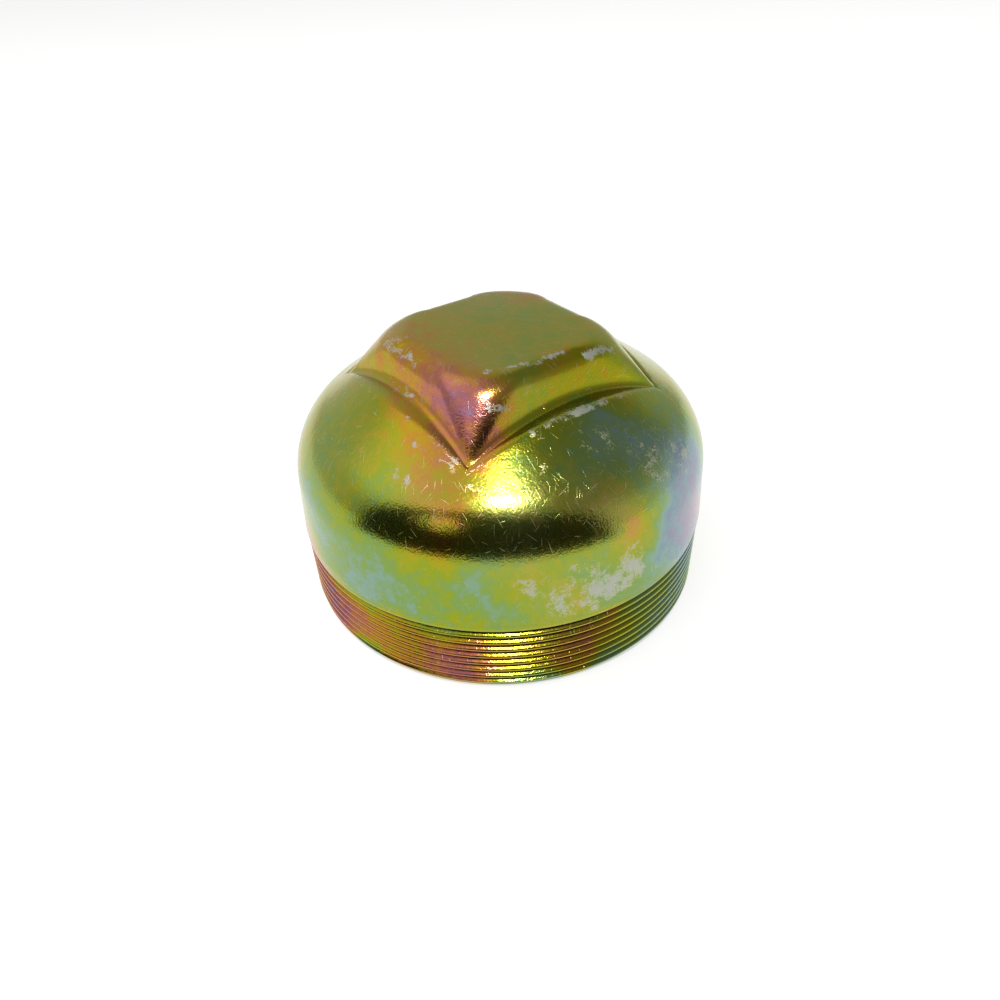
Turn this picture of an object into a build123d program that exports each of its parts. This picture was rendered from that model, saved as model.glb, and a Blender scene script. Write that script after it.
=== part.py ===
import math
import os

from build123d import *

os.makedirs("parts", exist_ok=True)

# Sizes in millimetres. Z is the axis of the cap, and its open rim stands on z = 0.
sheet = 4.0

# turned end for the M95 x 2 thread, its cylinder at the crests
thread_radius = 47.5
thread_root_radius = 46.25
thread_end = 19.0
lead_angle = 30.0
shoulder_step = 0.2
bore_chamfer = 0.6

# drawn wall, knuckle and conical crown
wall_draft = 3.5
wall_top = 31.4
knuckle_radius = 17.7
knuckle_turn = 51.5

# arched ledge pressed into the crown in front of each flat
ledge_height = 52.9
ledge_radius = 62.0

# square head over the ledges, with drafted flats and corners that open out upwards
head_rise = 7.5
head_root = 6.5
flat_half_width = 23.0
flat_draft = 20.0
foot_corner_radius = 0.5
top_corner_radius = 13.7
top_edge_share = 0.7
inner_corner_radius = 4.0

head_foot = ledge_height - head_root
head_height = ledge_height + head_rise
top_edge_radius = top_edge_share * head_rise
blank_radius = thread_radius + shoulder_step
lead_height = (thread_radius - thread_root_radius) / math.tan(math.radians(lead_angle))
draft = math.radians(flat_draft)


def half_width(z, inset=0):
    return flat_half_width + (ledge_height - z) * math.tan(draft) - inset / math.cos(draft)


def drawn_cup(foot, roof, inset=0):
    """Face to revolve for the cup that lies inset below the outside, closed off flat at the roof height.

    The knuckle is round outside, and the inside takes it in two straight bevels.
    """
    wall_radius = blank_radius - inset
    wall_slope = math.tan(math.radians(wall_draft))
    wall_top_radius = wall_radius - (wall_top - thread_end) * wall_slope
    with BuildSketch(Plane.XZ) as cup:
        with BuildLine():
            Polyline((0, foot), (wall_radius, foot), (wall_radius, thread_end))
            wall = Line((wall_radius, thread_end), (wall_top_radius, wall_top))
            bend = Mode.PRIVATE if inset else Mode.ADD
            knuckle = JernArc(wall @ 1, (-wall_slope, 1), knuckle_radius - inset, knuckle_turn, mode=bend)
            if inset:
                Polyline(knuckle @ 0, knuckle @ 0.5, knuckle @ 1)
            rise = roof - (knuckle @ 1).Y
            crown_slope = math.radians(90 - wall_draft - knuckle_turn)
            crown = PolarLine(knuckle @ 1, rise / math.sin(crown_slope), direction=knuckle % 1)
            Polyline(crown @ 1, (0, roof), (0, foot))
        make_face()
    return cup.sketch


with BuildPart() as ledge_tool:
    with BuildSketch(Plane.YZ):
        with BuildLine():
            arch = CenterArc((0, ledge_height - ledge_radius), ledge_radius, 45, 90)
            Polyline(arch @ 1, (-ledge_radius, head_height), (ledge_radius, head_height), arch @ 0)
        make_face()
    extrude(amount=ledge_radius)
    with BuildSketch(Plane.XY):
        Polygon((0, 0), (ledge_radius, -ledge_radius), (ledge_radius, ledge_radius), align=None)
    extrude(amount=head_height, mode=Mode.INTERSECT)

with BuildPart() as head_recess:
    with BuildSketch(Plane.XY.offset(head_foot - sheet)):
        Rectangle(2 * half_width(head_foot - sheet, sheet), 2 * half_width(head_foot - sheet, sheet))
    extrude(amount=head_height - head_foot, taper=flat_draft)
    fillet(head_recess.edges().filter_by(lambda edge: abs(edge.tangent_at(0).Z) > 0.5), inner_corner_radius)

with BuildPart() as inside:
    add(drawn_cup(-sheet, ledge_height - sheet, sheet))
    revolve(axis=Axis.Z)
    add(head_recess.part)

with BuildPart() as hub_cap:
    add(drawn_cup(0, head_height - top_edge_radius))
    revolve(axis=Axis.Z)
    with PolarLocations(0, 4):
        add(ledge_tool.part, mode=Mode.SUBTRACT)
    for z, corner in ((head_foot, foot_corner_radius), (head_height, top_corner_radius)):
        with BuildSketch(Plane.XY.offset(z)):
            RectangleRounded(2 * half_width(z), 2 * half_width(z), corner)
    loft(ruled=True)
    fillet(hub_cap.edges().group_by(Axis.Z)[-1], top_edge_radius)
    add(inside.part, mode=Mode.SUBTRACT)
    with BuildSketch(Plane.XZ):
        Polygon(
            (thread_radius, thread_end),
            (blank_radius, thread_end),
            (blank_radius, 0),
            (thread_root_radius, 0),
            (thread_radius, lead_height),
            align=None,
        )
    revolve(axis=Axis.Z, mode=Mode.SUBTRACT)
    mouth = hub_cap.edges().filter_by(GeomType.CIRCLE).group_by(Axis.Z)[0].sort_by(SortBy.RADIUS)[0]
    chamfer(mouth, bore_chamfer)

hub_cap.part.label = "hub_cap"
export_step(hub_cap.part, "parts/hub_cap.step")
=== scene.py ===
import bmesh
import bpy
import numpy as np
from mathutils import Matrix, Vector


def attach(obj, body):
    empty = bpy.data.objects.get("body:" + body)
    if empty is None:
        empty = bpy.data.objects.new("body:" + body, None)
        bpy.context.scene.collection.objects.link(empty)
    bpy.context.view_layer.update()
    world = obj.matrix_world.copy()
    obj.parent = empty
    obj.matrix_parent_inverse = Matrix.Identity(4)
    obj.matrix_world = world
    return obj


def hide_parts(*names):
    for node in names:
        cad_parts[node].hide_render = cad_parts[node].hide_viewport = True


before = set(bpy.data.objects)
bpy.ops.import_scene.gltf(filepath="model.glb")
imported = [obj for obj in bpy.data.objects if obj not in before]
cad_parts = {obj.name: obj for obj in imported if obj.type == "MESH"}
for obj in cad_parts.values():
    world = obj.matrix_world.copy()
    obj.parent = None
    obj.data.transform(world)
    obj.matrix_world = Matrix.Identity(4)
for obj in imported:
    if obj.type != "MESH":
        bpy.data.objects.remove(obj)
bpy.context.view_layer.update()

mm = 0.001
rad = np.radians


def linear(hexColour):
    # sRGB hex to linear: divide by 12.92 near black, else the 2.4 power curve
    s = np.array([int(hexColour[i:i + 2], 16) for i in (0, 2, 4)]) / 255
    return tuple(np.where(s <= 0.04045, s / 12.92, ((s + 0.055) / 1.055) ** 2.4)) + (1.0,)


# the cap: pressed cup with a square head, threaded round its foot, sizes in mm and degrees as in the solid
cap = {
    "columns": 432, "crowding": 0.6,                        # columns crowd towards the corners of the head
    "crest": 47.5, "foot": 46.25, "lead": 2.165, "shoulder": 19.0, "blank": 47.7,
    "pitch": 2.0, "depth": 1.1, "start": -0.106, "runOut": 17.6, "fade": 0.45,
    "wallTop": 31.4, "draft": 3.5, "knuckle": 17.7, "turn": 51.5,
    "ledge": 52.9, "arch": 62.0,
    "headFoot": 46.4, "top": 60.4, "half": 23.0, "flatDraft": 20.0,
    "footCorner": 0.5, "topCorner": 13.7, "cornerPower": 1.2, "topEdge": 5.25, "cornerEdge": 10.0,
    "crease": 1.5, "ridge": 0.9,
    "sheet": 4.0, "innerCorner": 4.0, "boreChamfer": 0.6, "mouthRound": 1.6, "recessRound": 2.0,
    # how far each zone's film is worn by handling, 0 to 1; the ridge's full share is wear and also a painted
    # highlight along the ridge
    "edgeWearAndHighlight": {"shoulder": 0.55, "ridge": 1.0, "ledge": 0.1, "side": 0.1, "topEdge": 0.3, "top": 0.05},
}
u = np.arange(cap["columns"]) / cap["columns"] * 2 * np.pi
polar = u + cap["crowding"] * np.sin(4 * u) / 4
fold = np.abs((polar + np.pi / 4) % (np.pi / 2) - np.pi / 4)    # angle from the nearest flat, 0 to 45 degrees


def squareReach(half, corner):
    # polar radius of a rounded square: half over cosine on a flat, the far root of the corner circle past it
    c, s = np.cos(fold), np.sin(fold)
    base = half - corner
    across = base * (c + s)
    arc = across + np.sqrt(np.maximum(across ** 2 - 2 * base ** 2 + corner ** 2, 0))
    return np.where(half * s / c <= base, half / c, arc)


def headHalf(z, inset=0.0):
    # half width of the head: that at the ledge, plus the drop below the ledge times the tangent of the draft
    draft = rad(cap["flatDraft"])
    return cap["half"] + (cap["ledge"] - z) * np.tan(draft) - inset / np.cos(draft)


def headCorner(z):
    # corner radius grows with a power of the height, so the corner rolls over towards the top
    share = np.clip((z - cap["headFoot"]) / (cap["top"] - cap["headFoot"]), 0, 1)
    return cap["footCorner"] + share ** cap["cornerPower"] * (cap["topCorner"] - cap["footCorner"])


def ledgeHeight(along):
    # crown of the arch less the drop of its circle at that distance along the flat
    return cap["ledge"] - cap["arch"] + np.sqrt(cap["arch"] ** 2 - along ** 2)


def point(reach, z):
    # one profile point in each column, as its distance from the axis and its height
    return np.stack(np.broadcast_arrays(reach + 0 * polar, z + 0 * polar), -1)


def run(a, b, count, ends=(0.0, 1.0)):
    # rows evenly along the straight line from a to b
    t = np.linspace(*ends, count)[:, None, None]
    return a + (b - a) * t


def conic(a, corner, b, weight, count):
    # rational curve from a to b that is tangent to both lines at the corner, a circle at the right weight
    t = np.linspace(0, 1, count)[:, None, None]
    w = 2 * t * (1 - t) * np.asarray(weight)[..., None]
    return ((1 - t) ** 2 * a + w * corner + t ** 2 * b) / ((1 - t) ** 2 + w + t ** 2)


def towards(a, b, length):
    # point on the line from a to b at that length, at most 0.45 of the way
    gap = np.linalg.norm(b - a, axis=-1)
    return a + (b - a) * np.minimum(length / np.maximum(gap, 1e-6), 0.45)[:, None]


def arcRows(centre, radius, first, last, count):
    # rows round a circle: radius times cosine outwards from the centre, radius times sine upwards
    angle = rad(np.linspace(first, last, count))[:, None]
    return point(centre[0] + radius * np.cos(angle), centre[1] + radius * np.sin(angle))


# end of the wall, centre of the knuckle, and slope of the cone after it
draft = rad(cap["draft"])
wallEnd = cap["blank"] - (cap["wallTop"] - cap["shoulder"]) * np.tan(draft)
bend = (wallEnd - cap["knuckle"] * np.cos(draft), cap["wallTop"] - cap["knuckle"] * np.sin(draft))
coneTurn = cap["draft"] + cap["turn"]
slope = np.tan(rad(90 - coneTurn))


def outside():
    # rows from the shoulder to the middle of the top: wall, knuckle, cone, ridge, ledge, crease, head,
    # top edge and top
    coneFoot = arcRows(bend, cap["knuckle"], coneTurn, coneTurn, 1)[0]
    out = coneFoot[:, 0] - 8
    for step in range(40):                                  # cone and arch meet at the ridge
        out = coneFoot[:, 0] - (ledgeHeight(out * np.sin(fold)) - coneFoot[:, 1]) / slope
    ridge = point(out, ledgeHeight(out * np.sin(fold)))
    z = np.full_like(polar, 50.0)
    for step in range(40):                                  # head and arch meet at the crease
        reach = squareReach(headHalf(z), headCorner(z))
        z = ledgeHeight(reach * np.sin(fold))
    crease = point(reach, z)
    # top edge: the head leans by its draft at the flats and by more at the corners, where the radius grows
    half, corner = headHalf(cap["top"]), headCorner(cap["top"])
    sharp = point(squareReach(half, corner), cap["top"])
    base = half - corner
    facing = np.arctan2(np.maximum(sharp[:, 0] * np.sin(fold) - base, 0),
                        np.maximum(sharp[:, 0] * np.cos(fold) - base, 1e-9))
    headRise = cap["top"] - cap["headFoot"]
    cornerGrowth = cap["cornerPower"] * (cap["topCorner"] - cap["footCorner"]) / headRise
    shrink = np.tan(rad(cap["flatDraft"])) + cornerGrowth
    lean = np.arctan(shrink * (np.cos(facing) + np.sin(facing)) - cornerGrowth)
    halfTurn = (np.pi / 2 - lean) / 2
    radius = cap["topEdge"] + (cap["cornerEdge"] - cap["topEdge"]) * np.sin(2 * facing) ** 2
    tangent = radius * np.tan(halfTurn)
    sideZ = cap["top"] - tangent * np.cos(lean)
    sideTop = point(squareReach(headHalf(sideZ), headCorner(sideZ)), sideZ)
    onTop = point(sharp[:, 0] - tangent / np.cos(facing - fold), cap["top"])
    # roundings of ridge and crease
    ridgeIn, ridgeOut = towards(ridge, crease, cap["ridge"]), towards(ridge, coneFoot, cap["ridge"])
    creaseOut, creaseIn = towards(crease, ridge, cap["crease"]), towards(crease, sideTop, cap["crease"])
    share = np.linspace(0, 1, 10)[:, None]
    level = creaseIn[:, 1] + (sideZ - creaseIn[:, 1]) * share
    side = point(squareReach(headHalf(level), headCorner(level)), level)
    side += (creaseIn - side[0]) * (1 - share)[..., None] ** 2
    # lip of the shoulder, its sharp edge broken by a few hundredths
    lip = [point(cap["crest"] + 0.12, cap["shoulder"]), point(cap["blank"] - 0.03, cap["shoulder"] + 0.04)]
    wallFoot = point(cap["blank"] - 0.01, cap["shoulder"] + 0.2)
    edgeWearAndHighlight = cap["edgeWearAndHighlight"]
    # the weight of a rounding is the cosine of half its turn, taken as the same all round
    parts = [
        (np.stack(lip), edgeWearAndHighlight["shoulder"]),
        (run(wallFoot, point(wallEnd, cap["wallTop"]), 9), 0.0),
        (arcRows(bend, cap["knuckle"], cap["draft"], coneTurn, 18)[1:], 0.0),
        (run(coneFoot, ridgeOut, 9, (0.1, 0.95)), 0.0),
        # ridge rounding: edge wear and a painted highlight along the ridge line
        (conic(ridgeOut, ridge, ridgeIn, np.cos(rad(17)), 6), edgeWearAndHighlight["ridge"]),
        (run(ridgeIn, creaseOut, 3, (0.25, 0.75)), edgeWearAndHighlight["ledge"]),
        (conic(creaseOut, crease, creaseIn, np.cos(rad(33)), 7), 0.0),
        (side[1:], edgeWearAndHighlight["side"]),
        (conic(sideTop, sharp, onTop, np.cos(halfTurn), 10)[1:], edgeWearAndHighlight["topEdge"]),
        (run(onTop, point(0.0, cap["top"]), 12)[1:], edgeWearAndHighlight["top"]),
    ]
    edge = np.concatenate([np.full(len(rows), wearAndHighlight) for rows, wearAndHighlight in parts])
    return np.concatenate([rows for rows, wearAndHighlight in parts]), edge


def inside():
    # rows from the middle of the recess down to the rim: recess, flat round it, cone, knuckle, bore, chamfer
    inset, chamfer = cap["sheet"], cap["boreChamfer"]
    ceiling, roof, bore = cap["ledge"] - inset, cap["top"] - inset, cap["blank"] - inset
    radius = cap["knuckle"] - inset
    centre = (bend[0], cap["wallTop"] - radius * np.sin(draft))
    wallTop = point(centre[0] + radius * np.cos(draft), cap["wallTop"])
    wallFoot, boreFoot = point(bore, cap["shoulder"]), point(bore, chamfer)
    rim = point(bore + chamfer, 0.0)
    coneFoot = arcRows(centre, radius, coneTurn, coneTurn, 1)[0]
    coneTop = point(coneFoot[0, 0] - (ceiling - coneFoot[0, 1]) / slope, ceiling)
    mouth = point(squareReach(headHalf(ceiling, inset), cap["innerCorner"]), ceiling)
    top = point(squareReach(headHalf(roof, inset), cap["innerCorner"]), roof)
    middle = point(0.0, roof)
    lip, shade = towards(mouth, top, cap["mouthRound"]), towards(mouth, coneTop, cap["mouthRound"])
    bendLow, bendHigh = towards(top, mouth, cap["recessRound"]), towards(top, middle, cap["recessRound"])
    return np.concatenate([
        run(middle, bendHigh, 7),
        conic(bendHigh, top, bendLow, np.cos(rad(35)), 6)[1:],
        run(bendLow, lip, 4)[1:-1],
        conic(lip, mouth, shade, np.cos(rad(35)), 6),
        run(shade, coneTop, 3)[1:],
        run(coneTop, coneFoot, 5)[1:-1],
        arcRows(centre, radius, coneTurn, cap["draft"], 12),
        run(wallTop, wallFoot, 5)[1:],
        run(wallFoot, boreFoot, 6)[1:],
        run(boreFoot, rim, 3)[1:],
        run(rim, point(cap["foot"], 0.0), 3)[1:],
    ])


def thread():
    # strip of rows that climb one pitch a turn: crest, flank, root and flank again, cut off by the lead
    # chamfer below and faded out along the helix above
    phase = np.array([-0.14, -0.05, 0.05, 0.13, 0.18, 0.41, 0.46, 0.54])    # share of pitch above the crest
    cut = np.array([0.12, 0.02, 0.02, 0.11, 0.245, 0.866, 1.0, 1.0])        # share of the depth
    # film worn off each row, which on the crest rows also sets a painted highlight
    wearAndHighlight = np.array([0.1, 0.4, 0.4, 0.1, 0.0, 0.0, 0.0, 0.0])
    turns = np.arange(-2, 11)
    around = np.append(polar, 2 * np.pi)
    turn = turns[:, None, None] + around / (2 * np.pi)
    z = cap["start"] + cap["pitch"] * (turn + phase[:, None])
    groove = cap["start"] + cap["pitch"] * (turn + 0.5)
    left = np.clip((cap["runOut"] - groove) / cap["fade"], 0, 1)
    reach = cap["crest"] - cap["depth"] * cut[:, None] * left * left * (3 - 2 * left)
    z = np.clip(z, 0, cap["shoulder"]).reshape(-1, len(around))
    lead = cap["foot"] + z * (cap["crest"] - cap["foot"]) / cap["lead"]
    reach = np.minimum(reach.reshape(-1, len(around)), lead)
    edge = np.tile(wearAndHighlight, len(turns))
    # depth in the groove sets the painted shade in the roots; worn crest rows get the painted highlight
    sunk = (np.clip((cap["crest"] - reach) / cap["depth"], 0, 1) * (z > 0.8)).ravel()
    crest = np.repeat(edge, len(around)) * (sunk < 0.2)
    return np.stack([reach, z], -1), around, edge, sunk, crest


def gridFaces(rows, columns, offset, closed):
    # quads between neighbouring rows and columns, the last column joined to the first in a closed grid
    r, c = np.meshgrid(np.arange(rows - 1), np.arange(columns if closed else columns - 1), indexing="ij")
    n = (c + 1) % columns
    low, high = r * columns, (r + 1) * columns
    return (offset + np.stack([low + c, low + n, high + n, high + c], -1)).reshape(-1, 4)


def turned(rows, around):
    # profile points swung round the axis: distance times cosine, distance times sine, height
    reach, z = rows[..., 0], rows[..., 1]
    return np.stack([reach * np.cos(around), reach * np.sin(around), z], -1).reshape(-1, 3)


def profileLength(rows):
    # length along each column's profile from the first row
    steps = np.linalg.norm(np.diff(rows, axis=0), axis=-1)
    return np.concatenate([np.zeros((1, rows.shape[1])), steps.cumsum(0)])


outer, outerEdge = outside()
inner = inside()
strip, around, stripEdge, stripSunk, stripCrest = thread()
grids = [(inner, polar, True, np.zeros(len(inner))), (strip, around, False, stripEdge),
         (outer, polar, True, outerEdge)]
points, faces, edges, count = [], [], [], 0
for rows, angles, closed, edge in grids:
    points.append(turned(rows, angles))
    faces.append(gridFaces(len(rows), len(angles), count, closed))
    edges.append(np.repeat(edge, len(angles)))
    count += points[-1].shape[0]
# the ring between the strip's top row and the first row of the wall
stripTop = len(points[0]) + (len(strip) - 1) * len(around) + np.arange(len(polar))
wallFoot = len(points[0]) + len(points[1]) + np.arange(len(polar))
nextTop = np.append(stripTop[1:], stripTop[-1] + 1)
faces.append(np.stack([stripTop, nextTop, np.roll(wallFoot, -1), wallFoot], -1))
points, faces, edges = np.concatenate(points), np.concatenate(faces), np.concatenate(edges)
# the sheet laid flat again, for what runs along its surface: length from the middle at the same polar angle
innerLength, outerLength = profileLength(inner), profileLength(outer[::-1])[::-1]
innerFlat = np.stack([innerLength, np.full_like(innerLength, 60.0)], -1)    # 60 mm off, for its own scratches
stripLength = outerLength[0].mean() + cap["shoulder"] - strip[..., 1]
flats = [(innerFlat, polar), (np.stack([stripLength, 0 * stripLength], -1), around),
         (np.stack([outerLength, 0 * outerLength], -1), polar)]
flat = np.concatenate([turned(rows, angles) for rows, angles in flats])
print("cap surface:", len(points), "points")


# chromate film: how far along its run of colours each place is: polar degrees, reach, height, size and share
filmZones = [
    # head: top, edges, corners and flats
    (-35, 8, 60, 6, 0.67), (148, 10, 60, 6, 0.62), (51, 10, 60, 6, 0.65), (-153, 12, 60, 6, 0.68),
    (-62, 13, 60, 4, 0.75), (2, 13, 60, 4, 0.61), (95, 15, 60, 4, 0.55), (150, 17, 59, 4, 0.58),
    (-120, 14, 60, 4, 0.73), (20, 3, 60, 3, 0.72), (-112, 22, 58, 5, 0.84), (-66, 24, 58, 4.5, 0.92),
    (-45, 25, 57, 4, 0.93), (-46, 31, 51, 4, 0.97), (-38, 27, 55, 3.5, 0.98), (-52, 27, 55, 3.5, 0.95),
    (-15, 24, 55, 6, 0.66), (4, 22, 57, 4, 0.76), (17, 23, 55, 4, 0.68), (-82, 23, 54, 5, 0.82),
    # crown, left to right as the photo shows it
    (-91, 32, 50, 7, 0.64), (-103, 36, 47, 6, 0.58), (-74, 31, 50, 4.5, 0.77), (-61, 34, 48, 4.5, 0.88),
    (-53, 38, 46, 4, 0.72), (-93, 41, 44, 6, 0.57), (-72, 40, 44, 6, 0.65), (-33, 37, 46, 4, 0.62),
    (-27, 33, 49, 4.5, 0.54), (-11, 33, 49, 5, 0.50), (3, 33, 49, 4.5, 0.36), (8, 38, 45, 5, 0.40),
    (6, 42, 42, 3.5, 0.58), (22, 41, 43, 6, 0.40), (30, 37, 46, 6, 0.52), (21, 44, 39, 5, 0.28),
    # knuckle
    (-51, 42, 42, 4, 0.77), (-33, 44, 40, 6, 0.60), (-14, 44, 39, 5, 0.72), (-61, 45, 38, 5, 0.66),
    (-81, 46, 36, 7, 0.53),
    # wall
    (-76, 47, 28, 6, 0.47), (-92, 47, 31, 5, 0.34), (-62, 47, 30, 5, 0.57), (-65, 47, 25, 3.5, 0.46),
    (-53, 47, 28, 4.5, 0.59), (-44, 47, 28, 5, 0.48), (-34, 47, 27, 4.5, 0.56), (-40, 47, 31, 2.5, 0.38),
    (-24, 47, 27, 4, 0.74), (-16, 47, 28, 5, 0.44), (-17, 47, 23, 3, 0.80), (-4, 47, 28, 4, 0.68),
    (2, 47, 32, 3, 0.82), (9, 47, 27, 5, 0.27), (27, 47, 25, 6, 0.23), (24, 46, 36, 5, 0.24),
    (-72, 47, 21, 3.5, 0.45), (-58, 47, 21, 3.5, 0.53), (-47, 47, 21, 3, 0.63), (-36, 47, 21, 3.5, 0.50),
    (-23, 47, 21, 3, 0.55), (-9, 47, 21, 3, 0.49), (5, 47, 21, 4, 0.48),
    # thread
    (-100, 47, 12, 5, 0.93), (-89, 47, 11, 4, 0.90), (-78, 47, 11, 4, 0.84), (-67, 47, 12, 4, 0.76),
    (-57, 47, 11, 3.5, 0.82), (-48, 47, 9, 3.5, 0.88), (-40, 47, 11, 3.5, 0.78), (-31, 47, 12, 4, 0.67),
    (-22, 47, 11, 3.5, 0.70), (-14, 47, 11, 3.5, 0.80), (-6, 47, 9, 3, 0.66), (4, 47, 10, 4, 0.56),
    (18, 47, 9, 7, 0.46), (-75, 47, 0, 2.5, 0.50), (-50, 47, 0, 2.5, 0.47), (-30, 47, 0, 2.5, 0.50),
    (-5, 47, 0, 2.5, 0.46),
    # far side
    (60, 40, 42, 12, 0.64), (105, 42, 40, 12, 0.48), (150, 40, 42, 12, 0.70), (190, 42, 38, 12, 0.84),
    (220, 38, 46, 12, 0.62), (70, 47, 24, 9, 0.46), (100, 47, 26, 9, 0.62), (135, 47, 22, 9, 0.72),
    (170, 47, 25, 9, 0.54), (205, 47, 24, 9, 0.40), (235, 47, 26, 9, 0.58), (55, 47, 9, 9, 0.66),
    (95, 47, 9, 9, 0.78), (130, 47, 9, 9, 0.88), (165, 47, 9, 9, 0.70), (200, 47, 9, 9, 0.56),
    (235, 47, 9, 9, 0.76), (135, 24, 56, 7, 0.84), (90, 24, 56, 7, 0.70), (180, 24, 56, 7, 0.62),
    (215, 26, 55, 7, 0.76),
    # inside
    (0, 20, 45, 16, 0.66), (120, 38, 20, 16, 0.56), (240, 38, 20, 16, 0.72),
]
# where handling has rubbed the film off, the same way
rubbedZones = [
    (-22, 47, 24, 4.0, 0.62), (-12, 47, 25, 5.0, 0.72), (-4, 47, 27, 4.5, 0.70), (-28, 47, 27, 4.0, 0.58),
    (4, 47, 24, 3.0, 0.40), (-2, 47, 31, 3.0, 0.55), (-16, 47, 29, 4.0, 0.6), (34, 25, 57, 1.3, 0.52),
    (-118, 22, 59, 4.0, 0.40), (-10, 43, 41, 5.0, 0.34), (14, 40, 44, 7.0, 0.50), (24, 44, 40, 6.0, 0.50),
    (0, 34, 49, 6.0, 0.42), (-20, 36, 47, 4.0, 0.30), (-70, 47, 24, 4.0, 0.35), (120, 24, 58, 4.0, 0.60),
    (160, 46, 36, 6.0, 0.45), (80, 45, 38, 5.0, 0.45), (200, 26, 56, 4.0, 0.55),
]
# and where it went in streaks, from one place to another: both places, size and share
rubbedStreaks = [
    (-104, 25, 54.0, -76, 24.5, 53.6, 0.9, 0.62), (-112, 22, 58.6, -88, 20.5, 59.0, 1.0, 0.55),
    (-40, 20, 60.0, 10, 19, 60.0, 0.9, 0.52), (14, 20.5, 59.6, 36, 25.5, 57.6, 0.9, 0.55),
    (-44, 27, 55.0, -32, 26, 55.5, 1.0, 0.60), (-66, 32, 50.5, -50, 35, 47.6, 0.9, 0.52),
    (-36, 34, 48.5, -14, 31, 50.8, 0.8, 0.25), (-44, 37.5, 46.0, -38, 40, 44.0, 1.4, 0.52),
    (-20, 47, 21.0, 6, 47, 22.0, 1.2, 0.55), (-92, 47, 24.0, -64, 47, 20.5, 1.6, 0.40),
    (10, 43, 41.0, 26, 44, 38.0, 2.2, 0.52), (-70, 37, 46.5, -62, 39, 45.0, 1.6, 0.48),
    (100, 21, 59.4, 160, 20, 59.6, 1.0, 0.52), (176, 24, 56.0, 216, 24, 56.0, 1.0, 0.52),
]
# where fine scratches crowd
scuffZones = [
    (-30, 43, 41, 8, 1.0), (-8, 42, 42, 8, 1.0), (12, 41, 43, 8, 1.0), (22, 44, 38, 8, 1.0),
    (2, 35, 48, 6, 0.7), (-58, 40, 44, 7, 0.6), (-90, 40, 44, 8, 0.5), (-40, 20, 60, 8, 0.5),
    (120, 43, 41, 12, 0.8), (200, 43, 41, 12, 0.8), (150, 20, 60, 8, 0.6), (-20, 47, 26, 8, 0.6),
]


def placed(zone):
    # polar degrees, reach and height to x, y and z
    angle, reach, z = rad(zone[:, 0]), zone[:, 1], zone[:, 2]
    return np.stack([reach * np.cos(angle), reach * np.sin(angle), z], -1)


def bell(gap, size):
    # e to the minus half of the squared distance over the squared size
    return np.exp(-(gap ** 2).sum(-1) / (2 * size ** 2))


def spread(zones, where):
    # mean of the zone values, each weighted by a bell curve over its distance
    zone = np.array(zones)
    total, weight = np.zeros(len(where)), np.full(len(where), 1e-6)
    for middle, size, value in zip(placed(zone), zone[:, 3], zone[:, 4]):
        near = bell(where - middle, size)
        total, weight = total + near * value, weight + near
    return total / weight


def patches(zones, where):
    # the strongest of the bell curves, each times its own share
    zone = np.array(zones)
    best = np.zeros(len(where))
    for middle, size, value in zip(placed(zone), zone[:, 3], zone[:, 4]):
        best = np.maximum(best, value * bell(where - middle, size))
    return best


def streaks(zones, where):
    # as the patches, but over the distance to the line between two places
    zone = np.array(zones)
    starts, ends = placed(zone), placed(zone[:, 3:])
    best = np.zeros(len(where))
    for start, way, size, value in zip(starts, ends - starts, zone[:, 6], zone[:, 7]):
        share = np.clip(((where - start) * way).sum(-1) / (way ** 2).sum(), 0, 1)
        best = np.maximum(best, value * bell(where - start - share[:, None] * way, size))
    return best


def warped(where, reach, scale):
    # places pushed about by three sine waves each way, so that no zone keeps a round outline
    turn = where[:, [1, 2, 0]] / scale
    other = where[:, [2, 0, 1]] / scale
    broad, middling = np.sin(turn * 2.1 + 0.7), np.sin(other * 3.7 + turn * 1.3)
    return where + reach * (broad + 0.6 * middling + 0.4 * np.sin(other * 7.9 - turn * 5.3))


# how far the outlines are pushed about and over what length, in mm
warp = {"film": (1.6, 9.0), "rubbed": (0.9, 5.0), "streaks": (0.5, 4.0)}
film = spread(filmZones, warped(points, *warp["film"]))
scuff = patches(scuffZones, points)
rubbed = np.maximum(patches(rubbedZones, warped(points, *warp["rubbed"])),
                    streaks(rubbedStreaks, warped(points, *warp["streaks"])))
before, after = np.zeros(inner.size // 2), np.zeros(outer.size // 2)
sunk, crest = (np.concatenate([before, part, after]) for part in (stripSunk, stripCrest))
marks = {"film": film, "edge": edges, "rubbed": rubbed, "sunk": sunk, "crest": crest, "scuff": scuff}

mesh = bpy.data.meshes.new("hubCap")
mesh.from_pydata((points * mm).tolist(), [], faces.tolist())
for name, values in marks.items():
    mesh.attributes.new(name, "FLOAT", "POINT").data.foreach_set("value", values.astype(np.float32))
flatMark = mesh.attributes.new("flat", "FLOAT_VECTOR", "POINT")
flatMark.data.foreach_set("vector", (flat * mm).astype(np.float32).ravel())
bm = bmesh.new()
bm.from_mesh(mesh)
bmesh.ops.remove_doubles(bm, verts=bm.verts, dist=2e-6)
bmesh.ops.dissolve_degenerate(bm, edges=bm.edges, dist=1e-7)
bmesh.ops.recalc_face_normals(bm, faces=bm.faces)
bm.to_mesh(mesh)
bm.free()
mesh.polygons.foreach_set("use_smooth", np.ones(len(mesh.polygons), bool))
hubCap = bpy.data.objects.new("hubCapPressing", mesh)
bpy.context.scene.collection.objects.link(hubCap)
print("cap mesh:", sum(len(face.vertices) - 2 for face in mesh.polygons), "triangles")


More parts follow.
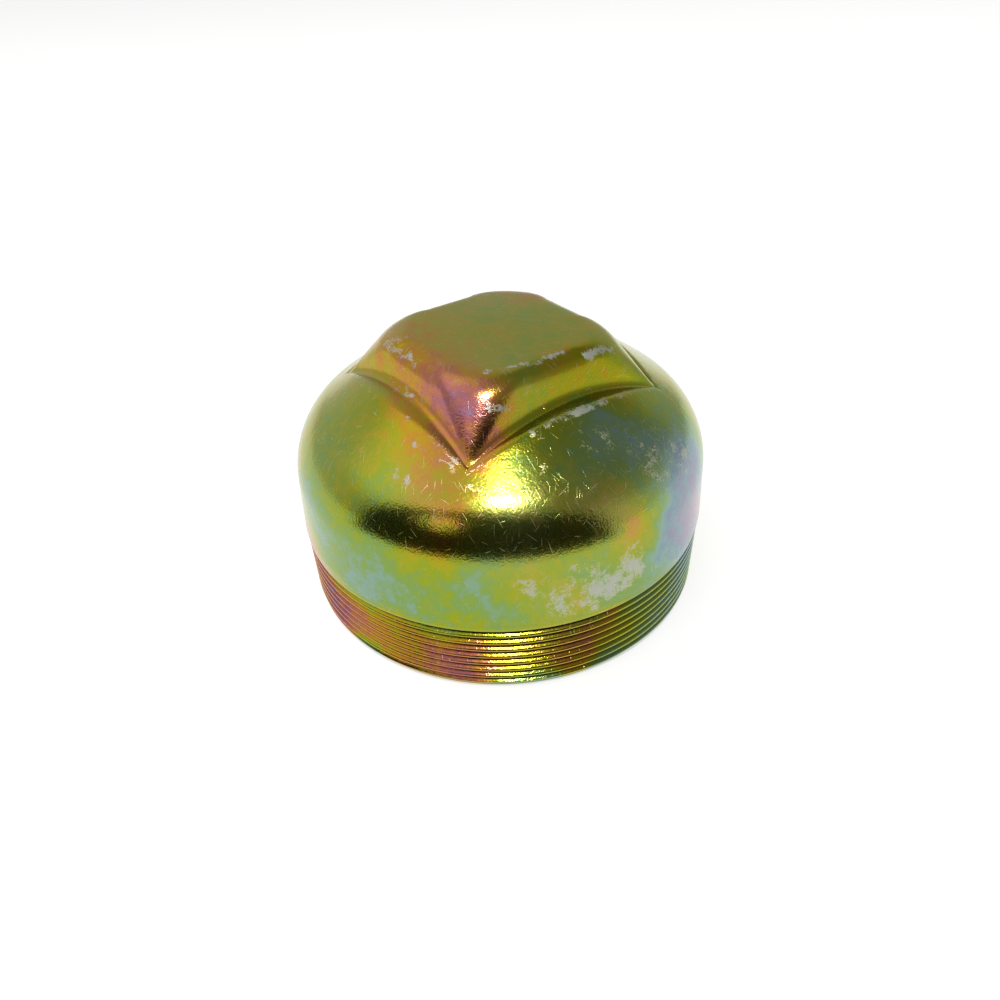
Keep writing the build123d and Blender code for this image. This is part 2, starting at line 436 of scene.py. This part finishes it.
def add(tree, kind, values=None, **settings):
    # one node with its settings, its inputs filled by value or by a link from another node's socket
    made = tree.nodes.new(kind)
    for name, value in settings.items():
        setattr(made, name, value)
    for key, value in (values or {}).items():
        if isinstance(value, bpy.types.NodeSocket):
            tree.links.new(value, made.inputs[key])
        else:
            made.inputs[key].default_value = value
    return made


# zinc-plated steel, drawn and plated, then passivated in yellow chromate: bright metal under a thin film that
# turns from gold through pink and blue to green and round again as it thickens, rubbed grey by handling
chromate = {
    "run": [(0.00, "b9ae7c"), (0.08, "c8a83c"), (0.16, "c58440"), (0.24, "b87480"), (0.31, "857f96"),
            (0.38, "74909c"), (0.46, "7f9f8e"), (0.54, "7b9a4c"), (0.62, "8f9c1c"), (0.70, "a49a12"),
            (0.78, "b8861e"), (0.86, "b56c50"), (0.92, "a25c68"), (1.00, "8a7a9a")],
    # bare metal where rubbed; painted shade for the thread roots; painted highlight for the thread crests
    "bare": "b9bcae", "paintedRootShade": "4e1e14", "paintedCrestHighlight": "e2d060",
    # these six in mm
    "cloud": 14.0, "mottle": 2.6, "grain": 0.42, "scratchWide": 0.3, "scratchLong": 5.0, "relief": 0.03,
    "cloudShare": 0.22, "mottleShare": 0.34, "thinner": -0.265,      # how the noises vary the film
    "edgeRub": 0.36, "mottleRub": 1.3, "grainRub": 0.5, "bareFrom": 1.36, "bareTo": 1.56,
    "leans": (0.2, 0.9, 1.5, 2.0, 2.7), "crowding": 0.055,           # scratches: ways they run, in radians
    "scratchFrom": 0.73, "scratchTo": 0.79, "scratchDepth": 0.5,
    # the root shade and crest highlight shares below are painted shade and a painted highlight
    "haze": 0.3, "rootShadePower": 1.4, "rootShadeShare": 0.9, "crestHighlightShare": 0.3,
    "smooth": 0.15, "rougher": 0.4, "scratchRelief": 0.6, "waviness": 1.8, "coat": 0.08, "coatRough": 0.22,
}
plated = bpy.data.materials.new("zincPlatedSteel")
plated.use_nodes = True
tree = plated.node_tree
tree.nodes.clear()
where = add(tree, "ShaderNodeTexCoord").outputs["Object"]
read = {name: add(tree, "ShaderNodeAttribute", attribute_name=name).outputs["Fac"] for name in marks}
cloud, mottle, grain = (
    add(tree, "ShaderNodeTexNoise", {"Vector": where, "Scale": 1 / (chromate[name] * mm),
                                     "Detail": detail, "Roughness": rough}).outputs["Fac"]
    for name, detail, rough in (("cloud", 3.0, 0.5), ("mottle", 6.0, 0.65), ("grain", 2.0, 0.5)))
# film thickness: the placed zones with clouds and a finer mottle on them
clouded = add(tree, "ShaderNodeMath", {0: cloud, 1: chromate["cloudShare"], 2: read["film"]},
              operation="MULTIPLY_ADD").outputs[0]
mottled = add(tree, "ShaderNodeMath", {0: mottle, 1: chromate["mottleShare"], 2: clouded},
              operation="MULTIPLY_ADD").outputs[0]
thick = add(tree, "ShaderNodeMath", {0: mottled, 1: chromate["thinner"]},
            operation="ADD", use_clamp=True).outputs[0]
ramp = add(tree, "ShaderNodeValToRGB", {"Fac": thick})
stops = ramp.color_ramp.elements
for stop, (place, tint) in zip((stops[0], stops[1]), (chromate["run"][0], chromate["run"][-1])):
    stop.position, stop.color = place, linear(tint)
for place, tint in chromate["run"][1:-1]:
    stops.new(place).color = linear(tint)
# bare metal in the rubbed patches and along the edges, broken up by the mottle and the grain; along the ridge
# this pale metal is partly a painted highlight
rub = add(tree, "ShaderNodeMath", {0: read["edge"], 1: chromate["edgeRub"], 2: read["rubbed"]},
          operation="MULTIPLY_ADD").outputs[0]
flecked = add(tree, "ShaderNodeMath", {0: mottle, 1: chromate["mottleRub"], 2: rub},
              operation="MULTIPLY_ADD").outputs[0]
broken = add(tree, "ShaderNodeMath", {0: grain, 1: chromate["grainRub"], 2: flecked},
             operation="MULTIPLY_ADD").outputs[0]
patch = add(tree, "ShaderNodeMapRange",
            {"Value": broken, "From Min": chromate["bareFrom"], "From Max": chromate["bareTo"]}).outputs[0]
# fine scratches five ways on the flat sheet: noise drawn out along the scratch, cut off near its peaks;
# wider than real ones, so that they show
scratch = patch
flatIn = add(tree, "ShaderNodeAttribute", attribute_name="flat").outputs["Vector"]
drawn = (1.0, chromate["scratchLong"] / chromate["scratchWide"], 1.0)
for lean in chromate["leans"]:
    lay = add(tree, "ShaderNodeMapping", {"Vector": flatIn, "Rotation": (0.0, 0.0, lean), "Scale": drawn},
              vector_type="TEXTURE").outputs[0]
    hair = add(tree, "ShaderNodeTexNoise",
               {"Vector": lay, "Scale": 1 / (chromate["scratchWide"] * mm), "Detail": 1.0}).outputs["Fac"]
    crowded = add(tree, "ShaderNodeMath", {0: read["scuff"], 1: chromate["crowding"], 2: hair},
                  operation="MULTIPLY_ADD").outputs[0]
    cut = add(tree, "ShaderNodeMapRange",
              {"Value": crowded, "From Min": chromate["scratchFrom"], "From Max": chromate["scratchTo"],
               "To Max": chromate["scratchDepth"]}).outputs[0]
    scratch = add(tree, "ShaderNodeMath", {0: scratch, 1: cut}, operation="MAXIMUM").outputs[0]
# and a thin grey haze where they crowd
haze = add(tree, "ShaderNodeMath", {0: read["scuff"], 1: mottle}, operation="MULTIPLY").outputs[0]
dull = add(tree, "ShaderNodeMath", {0: haze, 1: chromate["haze"]}, operation="MULTIPLY").outputs[0]
scratch = add(tree, "ShaderNodeMath", {0: scratch, 1: dull}, operation="MAXIMUM").outputs[0]
# painted shade: thread roots darkened to a brown by their depth; painted highlight: thread crests lightened
# to a paler gold
deep = add(tree, "ShaderNodeMath", {0: read["sunk"], 1: chromate["rootShadePower"]}, operation="POWER").outputs[0]
rootShading = add(tree, "ShaderNodeMath", {0: deep, 1: chromate["rootShadeShare"]}, operation="MULTIPLY").outputs[0]
crestHighlight = add(tree, "ShaderNodeMath", {0: read["crest"], 1: chromate["crestHighlightShare"]},
             operation="MULTIPLY").outputs[0]
tint = ramp.outputs["Color"]
for share, over in ((scratch, "bare"), (rootShading, "paintedRootShade"), (crestHighlight, "paintedCrestHighlight")):
    tint = add(tree, "ShaderNodeMix", {0: share, 6: tint, 7: linear(chromate[over])},
               data_type="RGBA").outputs[2]
gloss = add(tree, "ShaderNodeMath", {0: scratch, 1: chromate["rougher"], 2: chromate["smooth"]},
            operation="MULTIPLY_ADD").outputs[0]
ground = add(tree, "ShaderNodeMath", {0: scratch, 1: chromate["scratchRelief"], 2: grain},
             operation="MULTIPLY_ADD").outputs[0]
wavy = add(tree, "ShaderNodeMath", {0: mottle, 1: chromate["waviness"], 2: ground},
           operation="MULTIPLY_ADD").outputs[0]
bump = add(tree, "ShaderNodeBump",
           {"Height": wavy, "Strength": 1.0, "Distance": chromate["relief"] * mm}).outputs["Normal"]
body = add(tree, "ShaderNodeBsdfPrincipled",
           {"Base Color": tint, "Metallic": 1.0, "Roughness": gloss, "Normal": bump,
            "Coat Weight": chromate["coat"], "Coat Roughness": chromate["coatRough"]})
add(tree, "ShaderNodeOutputMaterial", {"Surface": body.outputs[0]})
mesh.materials.append(plated)
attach(hubCap, "root")
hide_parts("hub_cap")
print("finish: yellow chromate on zinc")


def towardsSky(polarAngle, height):
    # direction at a polar angle and a height, both in degrees: cosines and sines of a sphere
    angle, level = rad(polarAngle), rad(height)
    return np.stack([np.cos(angle) * np.cos(level), np.sin(angle) * np.cos(level), np.sin(level)], -1)


# the stage: lengths in metres, angles in degrees, lamp in watts
studio = {
    "floorReach": 6.0, "floorDrop": 5e-5, "floorTone": "cccccb", "lift": 0.50,
    "key": 41.0, "keySize": 0.245, "keyFar": 3.0, "keyHeight": 66.0, "azimuth": -33.0,
    "horizon": 0.68, "zenith": 0.60,
    # brighter and dimmer parts of the room: polar, height, edge and heart as cosines, level
    "tones": [(60, 56, 0.66, 0.88, 0.52), (-155, 32, 0.60, 0.92, 1.35), (-108, 62, 0.72, 0.95, 1.80),
              (-68, 33, 0.90, 0.99, 2.20), (48, 10, 0.75, 0.95, 1.45)],
    "cardFar": 0.7, "cardNear": 0.24, "cardLift": 3e-4, "cardMiddle": -45.0, "cardWide": 64.0,
    "cardTall": 51.0, "cardArch": 0.35, "cardFoot": 0.2, "cardTone": "3a3a38", "cardGrid": (49, 97),
    "gap": (-68.0, 33.0, 9.0, 8.0),                    # opening in the card: polar, height and half sizes
}

# pale floor: matt white, lifted to white for what looks at it or mirrors it, with the shadow left in
floorMesh = bpy.data.meshes.new("floor")
reach, drop = studio["floorReach"], -studio["floorDrop"]
floorMesh.from_pydata([(x * reach, y * reach, drop) for x, y in ((-1, -1), (1, -1), (1, 1), (-1, 1))], [],
                      [(0, 1, 2, 3)])
floor = bpy.data.objects.new("floor", floorMesh)
bpy.context.scene.collection.objects.link(floor)
paper = bpy.data.materials.new("whitePaper")
paper.use_nodes = True
tree = paper.node_tree
tree.nodes.clear()
seen = add(tree, "ShaderNodeLightPath").outputs
direct = add(tree, "ShaderNodeMath", {0: seen["Is Camera Ray"], 1: seen["Is Glossy Ray"]},
             operation="MAXIMUM").outputs[0]
looked = add(tree, "ShaderNodeMath", {0: direct, 1: seen["Is Transmission Ray"]},
             operation="MAXIMUM").outputs[0]
lift = add(tree, "ShaderNodeMath", {0: looked, 1: studio["lift"]}, operation="MULTIPLY").outputs[0]
matt = add(tree, "ShaderNodeBsdfDiffuse", {"Color": linear(studio["floorTone"])}).outputs[0]
glow = add(tree, "ShaderNodeEmission", {"Strength": lift}).outputs[0]
both = add(tree, "ShaderNodeAddShader", {0: matt, 1: glow}).outputs[0]
add(tree, "ShaderNodeOutputMaterial", {"Surface": both})
floorMesh.materials.append(paper)

# soft room light with its brighter and dimmer parts
world = bpy.data.worlds.new("studioRoom")
bpy.context.scene.world = world
world.use_nodes = True
tree = world.node_tree
tree.nodes.clear()
ray = add(tree, "ShaderNodeTexCoord").outputs["Generated"]
up = add(tree, "ShaderNodeSeparateXYZ", {0: ray}).outputs["Z"]
level = add(tree, "ShaderNodeMapRange",
            {"Value": up, "To Min": studio["horizon"], "To Max": studio["zenith"]}).outputs[0]
for polarAngle, height, rim, heart, tone in studio["tones"]:
    near = add(tree, "ShaderNodeVectorMath", {0: ray, 1: towardsSky(polarAngle, height)},
               operation="DOT_PRODUCT").outputs["Value"]
    toned = add(tree, "ShaderNodeMapRange",
                {"Value": near, "From Min": rim, "From Max": heart, "To Min": 1.0, "To Max": tone},
                interpolation_type="SMOOTHSTEP").outputs[0]
    level = add(tree, "ShaderNodeMath", {0: level, 1: toned}, operation="MULTIPLY").outputs[0]
room = add(tree, "ShaderNodeBackground", {"Strength": level}).outputs[0]
add(tree, "ShaderNodeOutputWorld", {"Surface": room})

# black card behind the camera, on a sphere about the cap with an arched top, its foot lying on the floor
# towards the cap; only the metal sees it
cardRows, cardColumns = studio["cardGrid"]
across, upward = np.meshgrid(np.linspace(-1, 1, cardColumns), np.linspace(-studio["cardFoot"], 1, cardRows))
cardPolar = studio["cardMiddle"] + studio["cardWide"] * across
arched = np.maximum(1 - across ** 2, 0.0) ** studio["cardArch"]
cardHeight = studio["cardTall"] * arched * np.maximum(upward, 0.0)
inwards = np.minimum(upward, 0.0) / studio["cardFoot"]
cardOut = studio["cardFar"] + (studio["cardFar"] - studio["cardNear"]) * inwards
cardPoints = cardOut[..., None] * towardsSky(cardPolar, cardHeight)
cardPoints[..., 2] += studio["cardLift"]
cardFaces = gridFaces(cardRows, cardColumns, 0, False)
gapPolar, gapHeight, gapWide, gapTall = studio["gap"]
aside = cardPolar.ravel()[cardFaces].mean(1) - gapPolar
aloft = cardHeight.ravel()[cardFaces].mean(1) - gapHeight
cardFaces = cardFaces[(aside / gapWide) ** 2 + (aloft / gapTall) ** 2 > 1]
cardMesh = bpy.data.meshes.new("blackCard")
cardMesh.from_pydata(cardPoints.reshape(-1, 3).tolist(), [], cardFaces.tolist())
card = bpy.data.objects.new("blackCard", cardMesh)
bpy.context.scene.collection.objects.link(card)
card.visible_camera = card.visible_diffuse = card.visible_shadow = False
felt = bpy.data.materials.new("blackFelt")
felt.use_nodes = True
tree = felt.node_tree
tree.nodes.clear()
nap = add(tree, "ShaderNodeBsdfDiffuse", {"Color": linear(studio["cardTone"])}).outputs[0]
add(tree, "ShaderNodeOutputMaterial", {"Surface": nap})
cardMesh.materials.append(felt)

lamp = bpy.data.lights.new("keyLamp", "AREA")
lamp.energy, lamp.size = studio["key"], studio["keySize"]
key = bpy.data.objects.new("keyLamp", lamp)
bpy.context.scene.collection.objects.link(key)
toKey = Vector(towardsSky(studio["azimuth"], studio["keyHeight"]))
key.location = toKey * studio["keyFar"]
key.rotation_euler = toKey.to_track_quat("Z", "Y").to_euler()
print("stage: floor, room, card and key lamp")

# camera: distance in mm, angles in degrees and focal length in pixels, as fitted to the photo's ellipses
# and outline
view = {"distance": 195.28, "height": 40.39, "turn": 55.0, "tilt": 3.323, "pan": -0.133, "roll": 2.01,
        "focal": 742.75, "picture": 1000, "sensor": 36.0}
height, tilt, pan, roll = (rad(view[name]) for name in ("height", "tilt", "pan", "roll"))
right = np.array([1, 0, 0])
ahead, above = np.array([0, np.cos(height), -np.sin(height)]), np.array([0, np.sin(height), np.cos(height)])
stand = -view["distance"] * mm * ahead
ahead, above = ahead * np.cos(tilt) + above * np.sin(tilt), above * np.cos(tilt) - ahead * np.sin(tilt)
ahead, right = ahead * np.cos(pan) + right * np.sin(pan), right * np.cos(pan) - ahead * np.sin(pan)
right, above = np.cos(roll) * right - np.sin(roll) * above, np.sin(roll) * right + np.cos(roll) * above
pose = np.eye(4)
pose[:3, :3], pose[:3, 3] = np.stack([right, above, -ahead], -1), stand
lens = bpy.data.cameras.new("photoCamera")
lens.sensor_width = view["sensor"]
lens.lens = view["sensor"] * view["focal"] / view["picture"]
lens.clip_start = 0.01
camera = bpy.data.objects.new("photoCamera", lens)
bpy.context.scene.collection.objects.link(camera)
camera.matrix_world = Matrix.Rotation(rad(view["turn"]), 4, "Z") @ Matrix(pose.tolist())
bpy.context.scene.camera = camera
bpy.context.scene.view_settings.view_transform = "Standard"
print("camera placed")
